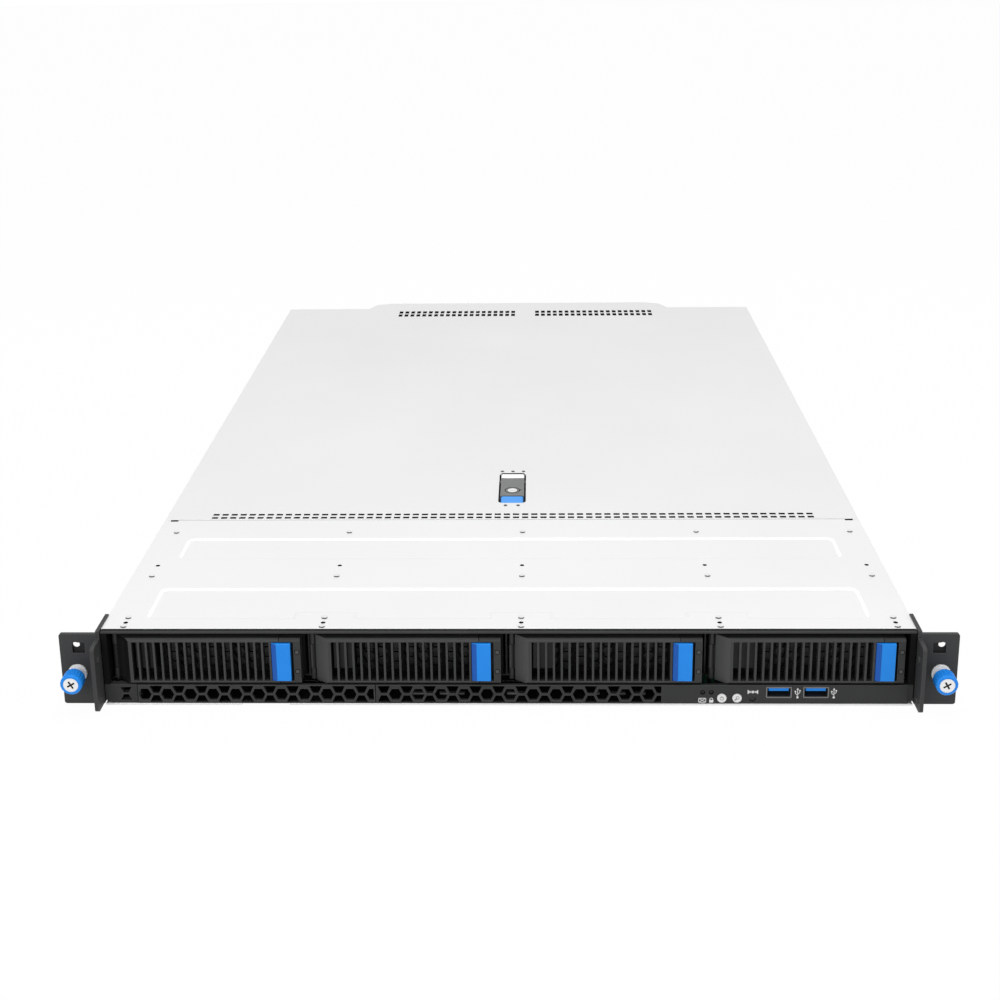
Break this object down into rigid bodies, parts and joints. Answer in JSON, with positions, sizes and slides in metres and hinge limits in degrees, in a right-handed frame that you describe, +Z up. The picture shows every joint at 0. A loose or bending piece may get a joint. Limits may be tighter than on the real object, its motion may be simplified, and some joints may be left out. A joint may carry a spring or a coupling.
{
  "type": "1u rack server",
  "caption": "Low rack-mount server with front drive trays, screw-on ears, sliding top cover with latch, inner fans and boards, and hot-swap power supplies.",
  "frame": {"origin": "middle of the chassis width, in the plane of the rack ears' faces, on the underside of the base pan", "axes": "+X to the server's right as seen from the front, +Y to the rear, +Z up"},
  "size_m": [0.4826, 0.6834, 0.0442],
  "materials": {
    "galvanised": "galvanised sheet steel, pale and softly satin",
    "galvanised_inner": "plain galvanised sheet, satin",
    "black_paint": "fine textured black powder coat",
    "black_plastic": "fine grained matt moulding",
    "blue_plastic": "satin blue touch point",
    "grey_plastic": "mid grey satin moulding",
    "white_plastic": "satin white",
    "natural_plastic": "pale grey moulding",
    "steel": "nickel plated",
    "cast_aluminium": "cast and machined, satin",
    "fin_aluminium": "stamped fins",
    "board_green": "solder mask over laminate",
    "fan_black": "glass filled moulding"
  },
  "bodies": {
    "chassis": {"base_pan": "galvanised", "rear_panel": "galvanised", "front_cover": "galvanised", "front_frame": "black_paint", "optical_bay_filler": "black_plastic", "control_fascia": "black_paint", "front_board": "board_green", "usb_shells": "steel", "usb_tongues": "blue_plastic", "left_rack_ear": "black_paint", "right_rack_ear": "black_paint", "thumbscrew_collars": "white_plastic", "drive_cage": "galvanised_inner", "drive_backplane": "board_green", "fan_bracket": "galvanised_inner", "fan_frames": "fan_black", "motherboard": "board_green", "processor_heatsink": "fin_aluminium", "memory_modules": "board_green", "air_shroud": "black_plastic", "riser_card": "board_green", "expansion_slot_cover": "steel", "rear_ports": "steel", "power_backplane": "board_green"},
    "sliding_cover": {"rear_cover": "galvanised", "latch_pocket": "galvanised_inner"},
    "cover_latch": {"latch_lever": "grey_plastic", "latch_tip": "blue_plastic"},
    "latch_lock": {"lock_screw": "white_plastic"},
    "power_button": {"power_button": "white_plastic"},
    "locate_button": {"locate_button": "white_plastic"},
    "reset_button": {"reset_button": "black_plastic"},
    "left_thumbscrew": {"left_thumbscrew_knob": "blue_plastic", "left_thumbscrew_screw": "steel"},
    "right_thumbscrew": {"right_thumbscrew_knob": "blue_plastic", "right_thumbscrew_screw": "steel"},
    "drive_tray_1": {"tray_frame_1": "black_plastic", "hard_drive_1": "cast_aluminium"},
    "tray_lever_1": {"tray_lever_1": "black_plastic"},
    "release_tab_1": {"release_tab_1": "blue_plastic"},
    "drive_tray_2": {"tray_frame_2": "black_plastic", "hard_drive_2": "cast_aluminium"},
    "tray_lever_2": {"tray_lever_2": "black_plastic"},
    "release_tab_2": {"release_tab_2": "blue_plastic"},
    "drive_tray_3": {"tray_frame_3": "black_plastic", "hard_drive_3": "cast_aluminium"},
    "tray_lever_3": {"tray_lever_3": "black_plastic"},
    "release_tab_3": {"release_tab_3": "blue_plastic"},
    "drive_tray_4": {"tray_frame_4": "black_plastic", "hard_drive_4": "cast_aluminium"},
    "tray_lever_4": {"tray_lever_4": "black_plastic"},
    "release_tab_4": {"release_tab_4": "blue_plastic"},
    "fan_rotor_1": {"fan_rotor_1": "fan_black"},
    "fan_rotor_2": {"fan_rotor_2": "fan_black"},
    "fan_rotor_3": {"fan_rotor_3": "fan_black"},
    "fan_rotor_4": {"fan_rotor_4": "fan_black"},
    "power_supply_1": {"power_supply_1": "galvanised_inner"},
    "power_latch_1": {"power_latch_1": "blue_plastic"},
    "power_supply_2": {"power_supply_2": "galvanised_inner"},
    "power_latch_2": {"power_latch_2": "blue_plastic"}
  },
  "joints": [
    {"name": "cover_slide", "type": "slide", "parent": "chassis", "child": "sliding_cover", "axis": [0, 1, 0], "range_m": [0, 0.012]},
    {"name": "latch_hinge", "type": "hinge", "parent": "sliding_cover", "child": "cover_latch", "pos_m": [0.0009, 0.2168, 0.0406], "axis": [-1, 0, 0], "range_deg": [0, 70]},
    {"name": "lock_turn", "type": "hinge", "parent": "cover_latch", "child": "latch_lock", "pos_m": [0.0009, 0.1979, 0.041], "axis": [0, 0, 1], "range_deg": [0, 90]},
    {"name": "power_button_press", "type": "slide", "parent": "chassis", "child": "power_button", "axis": [0, 1, 0], "range_m": [0, 0.0008], "stiffness_N_per_m": 600, "springref_m": -0.0008},
    {"name": "locate_button_press", "type": "slide", "parent": "chassis", "child": "locate_button", "axis": [0, 1, 0], "range_m": [0, 0.0008], "stiffness_N_per_m": 600, "springref_m": -0.0008},
    {"name": "reset_button_press", "type": "slide", "parent": "chassis", "child": "reset_button", "axis": [0, 1, 0], "range_m": [0, 0.0005], "stiffness_N_per_m": 600, "springref_m": -0.0008},
    {"name": "left_thumbscrew_turn", "type": "hinge", "parent": "chassis", "child": "left_thumbscrew", "pos_m": [-0.23255, 0, 0.0194], "axis": [0, 1, 0], "continuous": true},
    {"name": "right_thumbscrew_turn", "type": "hinge", "parent": "chassis", "child": "right_thumbscrew", "pos_m": [0.23255, 0, 0.0194], "axis": [0, 1, 0], "continuous": true},
    {"name": "tray_slide_1", "type": "slide", "parent": "chassis", "child": "drive_tray_1", "axis": [0, -1, 0], "range_m": [0, 0.15]},
    {"name": "lever_hinge_1", "type": "hinge", "parent": "drive_tray_1", "child": "tray_lever_1", "pos_m": [-0.213, 0.0075, 0.026], "axis": [0, 0, -1], "range_deg": [0, 60]},
    {"name": "tab_slide_1", "type": "slide", "parent": "tray_lever_1", "child": "release_tab_1", "axis": [1, 0, 0], "range_m": [0, 0.0013], "stiffness_N_per_m": 600, "springref_m": -0.001},
    {"name": "tray_slide_2", "type": "slide", "parent": "chassis", "child": "drive_tray_2", "axis": [0, -1, 0], "range_m": [0, 0.15]},
    {"name": "lever_hinge_2", "type": "hinge", "parent": "drive_tray_2", "child": "tray_lever_2", "pos_m": [-0.105, 0.0075, 0.026], "axis": [0, 0, -1], "range_deg": [0, 60]},
    {"name": "tab_slide_2", "type": "slide", "parent": "tray_lever_2", "child": "release_tab_2", "axis": [1, 0, 0], "range_m": [0, 0.0013], "stiffness_N_per_m": 600, "springref_m": -0.001},
    {"name": "tray_slide_3", "type": "slide", "parent": "chassis", "child": "drive_tray_3", "axis": [0, -1, 0], "range_m": [0, 0.15]},
    {"name": "lever_hinge_3", "type": "hinge", "parent": "drive_tray_3", "child": "tray_lever_3", "pos_m": [0.003, 0.0075, 0.026], "axis": [0, 0, -1], "range_deg": [0, 60]},
    {"name": "tab_slide_3", "type": "slide", "parent": "tray_lever_3", "child": "release_tab_3", "axis": [1, 0, 0], "range_m": [0, 0.0013], "stiffness_N_per_m": 600, "springref_m": -0.001},
    {"name": "tray_slide_4", "type": "slide", "parent": "chassis", "child": "drive_tray_4", "axis": [0, -1, 0], "range_m": [0, 0.15]},
    {"name": "lever_hinge_4", "type": "hinge", "parent": "drive_tray_4", "child": "tray_lever_4", "pos_m": [0.111, 0.0075, 0.026], "axis": [0, 0, -1], "range_deg": [0, 60]},
    {"name": "tab_slide_4", "type": "slide", "parent": "tray_lever_4", "child": "release_tab_4", "axis": [1, 0, 0], "range_m": [0, 0.0013], "stiffness_N_per_m": 600, "springref_m": -0.001},
    {"name": "fan_spin_1", "type": "hinge", "parent": "chassis", "child": "fan_rotor_1", "pos_m": [-0.156, 0.2474, 0.0215], "axis": [0, 1, 0], "continuous": true},
    {"name": "fan_spin_2", "type": "hinge", "parent": "chassis", "child": "fan_rotor_2", "pos_m": [-0.052, 0.2474, 0.0215], "axis": [0, 1, 0], "continuous": true},
    {"name": "fan_spin_3", "type": "hinge", "parent": "chassis", "child": "fan_rotor_3", "pos_m": [0.052, 0.2474, 0.0215], "axis": [0, 1, 0], "continuous": true},
    {"name": "fan_spin_4", "type": "hinge", "parent": "chassis", "child": "fan_rotor_4", "pos_m": [0.156, 0.2474, 0.0215], "axis": [0, 1, 0], "continuous": true},
    {"name": "supply_slide_1", "type": "slide", "parent": "chassis", "child": "power_supply_1", "axis": [0, 1, 0], "range_m": [0, 0.15]},
    {"name": "supply_latch_1", "type": "slide", "parent": "power_supply_1", "child": "power_latch_1", "axis": [1, 0, 0], "range_m": [0, 0.0025], "stiffness_N_per_m": 800, "springref_m": -0.001},
    {"name": "supply_slide_2", "type": "slide", "parent": "chassis", "child": "power_supply_2", "axis": [0, 1, 0], "range_m": [0, 0.15]},
    {"name": "supply_latch_2", "type": "slide", "parent": "power_supply_2", "child": "power_latch_2", "axis": [1, 0, 0], "range_m": [0, 0.0025], "stiffness_N_per_m": 800, "springref_m": -0.001}
  ],
  "couplings": [
    {"joint": "latch_hinge", "follows": "cover_slide", "rad_per_m": 101.8}
  ]
}
